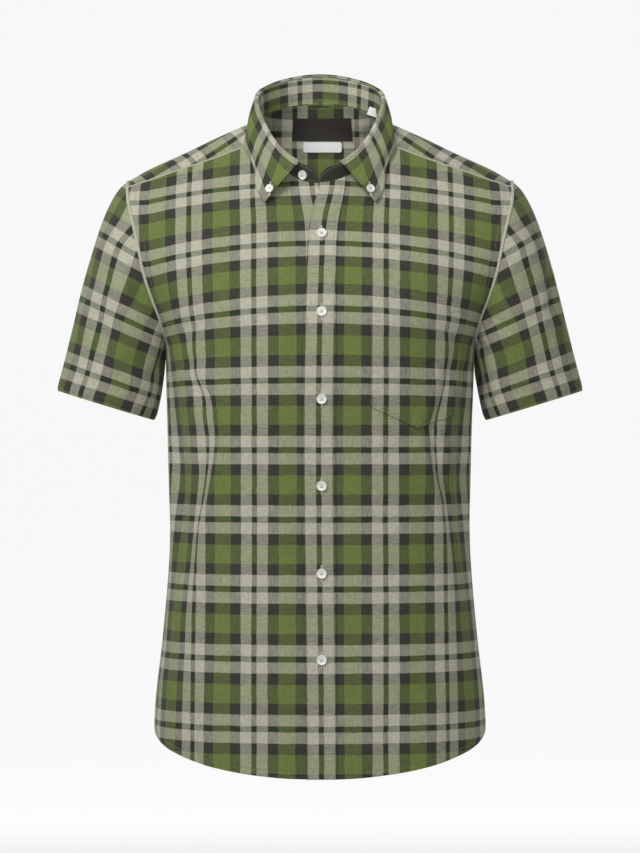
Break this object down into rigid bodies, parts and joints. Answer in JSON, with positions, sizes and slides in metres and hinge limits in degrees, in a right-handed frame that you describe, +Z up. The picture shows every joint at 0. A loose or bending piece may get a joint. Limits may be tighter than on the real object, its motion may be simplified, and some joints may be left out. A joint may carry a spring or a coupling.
{
  "type": "short-sleeve button-down shirt",
  "caption": "Hollow short-sleeve woven check shirt with a button-down collar, front placket, chest pocket and curved hem, filled out as worn.",
  "frame": {"origin": "middle of the neck opening at shoulder height, where the wearer's neck and shoulders hold the shirt", "axes": "+X is the wearer's left, the front faces -Y, +Z is up"},
  "size_m": [0.624, 0.2474, 0.8293],
  "materials": {
    "front_right": "plain woven check cotton",
    "front_left": "plain woven check cotton",
    "placket": "plain woven check cotton",
    "back": "plain woven check cotton",
    "yoke_outer": "plain woven check cotton",
    "yoke_inner": "plain woven check cotton",
    "sleeve_left": "plain woven check cotton",
    "sleeve_right": "plain woven check cotton",
    "collar_stand": "plain woven check cotton",
    "collar_leaf": "plain woven check cotton",
    "pocket": "plain woven check cotton",
    "button_1": "satin",
    "button_2": "satin",
    "button_3": "satin",
    "button_4": "satin",
    "button_5": "satin",
    "button_6": "satin",
    "button_stand": "satin",
    "button_collar_left": "satin",
    "button_collar_right": "satin",
    "label_main": "woven",
    "label_fit": "woven",
    "label_size": "woven"
  },
  "bodies": {
    "root": {"front_right": "front_right", "front_left": "front_left", "placket": "placket", "back": "back", "yoke_outer": "yoke_outer", "yoke_inner": "yoke_inner", "sleeve_left": "sleeve_left", "sleeve_right": "sleeve_right", "collar_stand": "collar_stand", "collar_leaf": "collar_leaf", "pocket": "pocket", "button_1": "button_1", "button_2": "button_2", "button_3": "button_3", "button_4": "button_4", "button_5": "button_5", "button_6": "button_6", "button_stand": "button_stand", "button_collar_left": "button_collar_left", "button_collar_right": "button_collar_right", "label_main": "label_main", "label_fit": "label_fit", "label_size": "label_size"}
  },
  "joints": []
}
